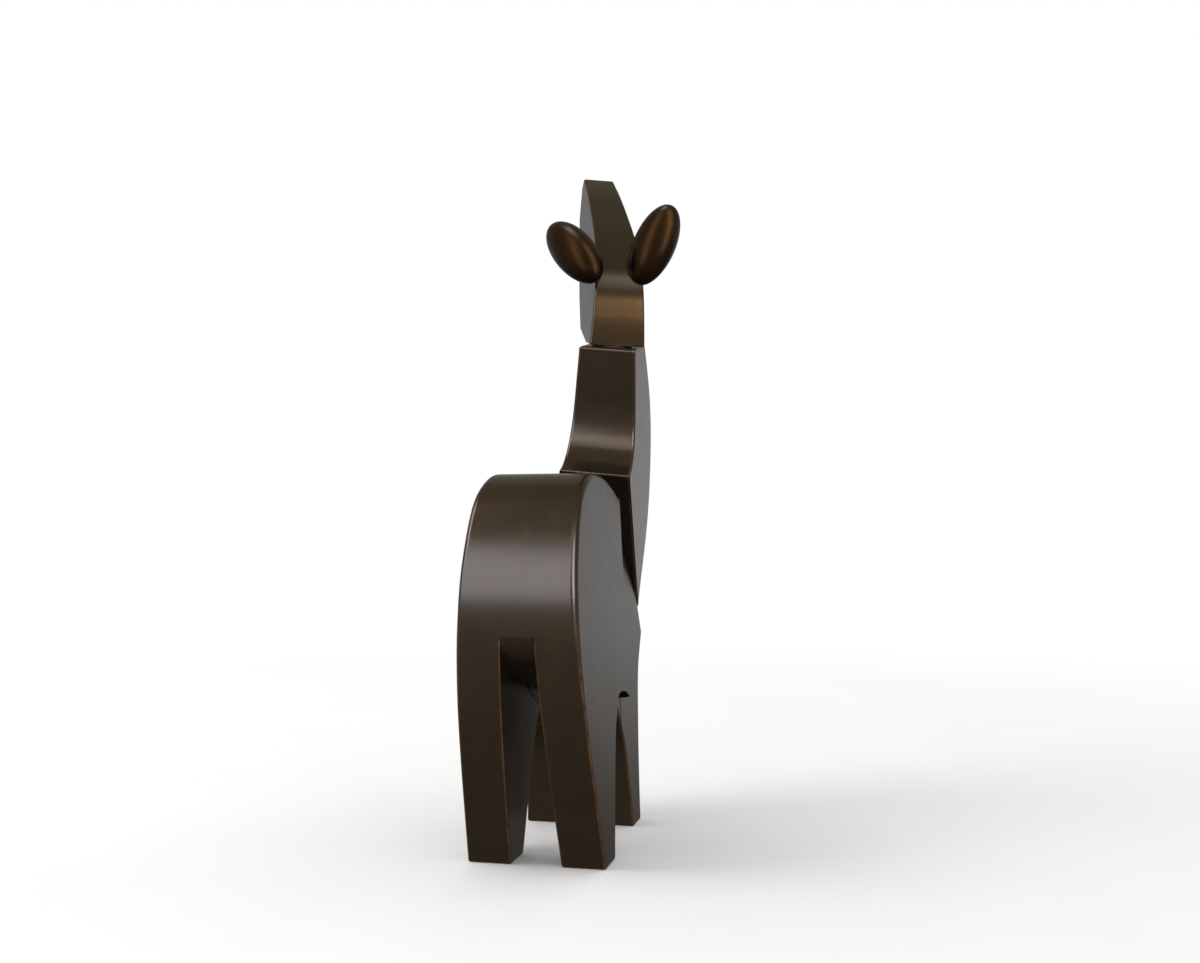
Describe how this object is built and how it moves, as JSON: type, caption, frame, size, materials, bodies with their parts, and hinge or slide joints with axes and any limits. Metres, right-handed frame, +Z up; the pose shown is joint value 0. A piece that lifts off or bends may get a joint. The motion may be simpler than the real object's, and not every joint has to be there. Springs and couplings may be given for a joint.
{
  "type": "giraffe statue",
  "caption": "Free-standing block-form giraffe statue with slotted legs, a tall tapered neck on a sloped seat, a turning wedge head and egg-shaped ears.",
  "frame": {"origin": "on the ground, under the middle of the whole statue's bounding box", "axes": "+Z up, the giraffe faces -Y, its left side is +X"},
  "size_m": [0.0736, 0.1648, 0.3007],
  "materials": {
    "bronze_body": "oil-rubbed antique bronze, satin, with worn copper edges",
    "bronze_ear": "oil-rubbed antique bronze, polished, copper showing",
    "steel_pin": "ground steel",
    "nylon_washer": "plain black nylon"
  },
  "bodies": {
    "body": {"hind_body": "bronze_body", "front_body": "bronze_body", "neck_pivot_pin": "steel_pin", "neck_washer": "nylon_washer", "body_dowel_lower": "steel_pin", "body_dowel_upper": "steel_pin"},
    "neck": {"neck": "bronze_body", "head_pivot_pin": "steel_pin", "head_washer": "nylon_washer"},
    "head": {"head": "bronze_body", "left_ear": "bronze_ear", "right_ear": "bronze_ear", "left_ear_pin": "steel_pin", "right_ear_pin": "steel_pin"}
  },
  "joints": [
    {"name": "neck_turn", "type": "hinge", "parent": "body", "child": "neck", "pos_m": [0.00924, -0.04164, 0.1023], "axis": [0, -0.7649, 0.6441], "continuous": true},
    {"name": "head_turn", "type": "hinge", "parent": "neck", "child": "head", "pos_m": [-0.00514, -0.0163, 0.21051], "axis": [-0.1128, 0.1895, 0.9754], "continuous": true}
  ]
}
